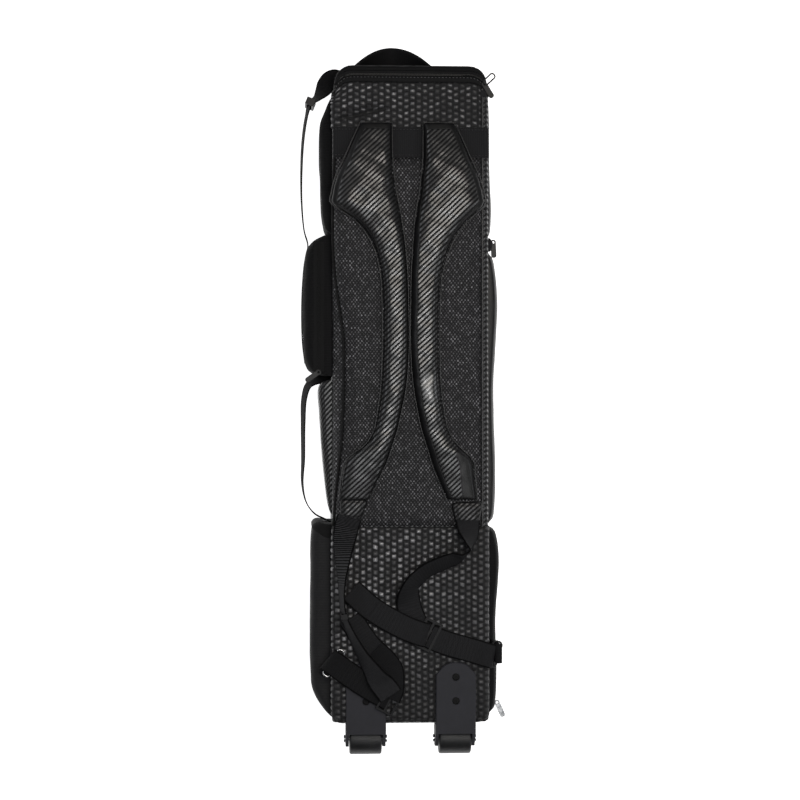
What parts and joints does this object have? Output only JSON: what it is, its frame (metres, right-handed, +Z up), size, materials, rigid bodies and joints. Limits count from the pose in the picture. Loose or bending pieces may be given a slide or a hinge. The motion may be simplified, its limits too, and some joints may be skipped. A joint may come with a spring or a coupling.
{
  "type": "wheeled cue case",
  "caption": "Tall padded cue case with shoulder straps, side pockets, zipped lid and base wheels, lying on its front",
  "frame": {"origin": "the middle of the flat front face, on the surface that the case lies on", "axes": "+X across the back to the picture's right, +Y along the case to its lid, +Z up from the front face to the back with the shoulder straps"},
  "size_m": [0.2682, 0.9367, 0.2006],
  "materials": {
    "carbon_vinyl": "glossy black coated cloth with a diagonal twill emboss",
    "woven_cloth": "black basket weave with a slight gloss",
    "spacer_mesh": "matte black air mesh over foam",
    "webbing": "matte black ribbed webbing",
    "smooth_cloth": "fine black nylon with a soft sheen",
    "bracket_plastic": "moulded, fine texture",
    "wheel_rubber": "semi-gloss",
    "nickel": "bright nickel plate"
  },
  "bodies": {
    "case": {"body_shell": "carbon_vinyl", "side_panel_left": "carbon_vinyl", "shoulder_pad_left": "carbon_vinyl", "shoulder_pad_right": "carbon_vinyl", "pad_tab_left": "carbon_vinyl", "pad_tab_right": "carbon_vinyl", "upper_woven_panel": "woven_cloth", "lower_woven_panel": "woven_cloth", "back_mesh_panel": "spacer_mesh", "yoke_band": "webbing", "top_handle": "webbing", "strap_webbing_left": "webbing", "strap_webbing_right": "webbing", "strap_tail_left": "webbing", "strap_tail_right": "webbing", "strap_anchor_left": "webbing", "strap_anchor_right": "webbing", "anchor_tab_left": "webbing", "anchor_tab_right": "webbing", "side_strap_upper": "webbing", "side_handle": "webbing", "side_tab_right": "webbing", "corner_tab_right": "webbing", "lid": "smooth_cloth", "lid_zip": "smooth_cloth", "piping_left": "smooth_cloth", "piping_right": "smooth_cloth", "upper_side_pocket": "smooth_cloth", "mid_pocket": "smooth_cloth", "lower_pocket": "smooth_cloth", "upper_side_panel_right": "smooth_cloth", "mid_side_panel_right": "smooth_cloth", "lower_side_panel_right": "smooth_cloth", "wheel_bracket_left": "bracket_plastic", "wheel_bracket_right": "bracket_plastic", "ladder_lock_left": "bracket_plastic", "ladder_lock_right": "bracket_plastic", "strap_keeper_left": "bracket_plastic", "axle_left": "nickel", "axle_right": "nickel", "bracket_screw_left_1": "nickel", "bracket_screw_left_2": "nickel", "bracket_screw_right_1": "nickel", "bracket_screw_right_2": "nickel", "anchor_ring_left": "nickel", "anchor_ring_right": "nickel", "side_strap_slider": "nickel", "lid_puller": "nickel", "lid_ring": "nickel", "side_puller_right": "nickel", "base_puller": "nickel", "mid_pocket_puller": "nickel"},
    "wheel_left": {"wheel_left": "wheel_rubber"},
    "wheel_right": {"wheel_right": "wheel_rubber"}
  },
  "joints": [
    {"name": "wheel_left_spin", "type": "hinge", "parent": "case", "child": "wheel_left", "pos_m": [-0.0585, -0.4505, 0.14], "axis": [1, 0, 0], "continuous": true},
    {"name": "wheel_right_spin", "type": "hinge", "parent": "case", "child": "wheel_right", "pos_m": [0.0585, -0.4505, 0.14], "axis": [1, 0, 0], "continuous": true}
  ]
}
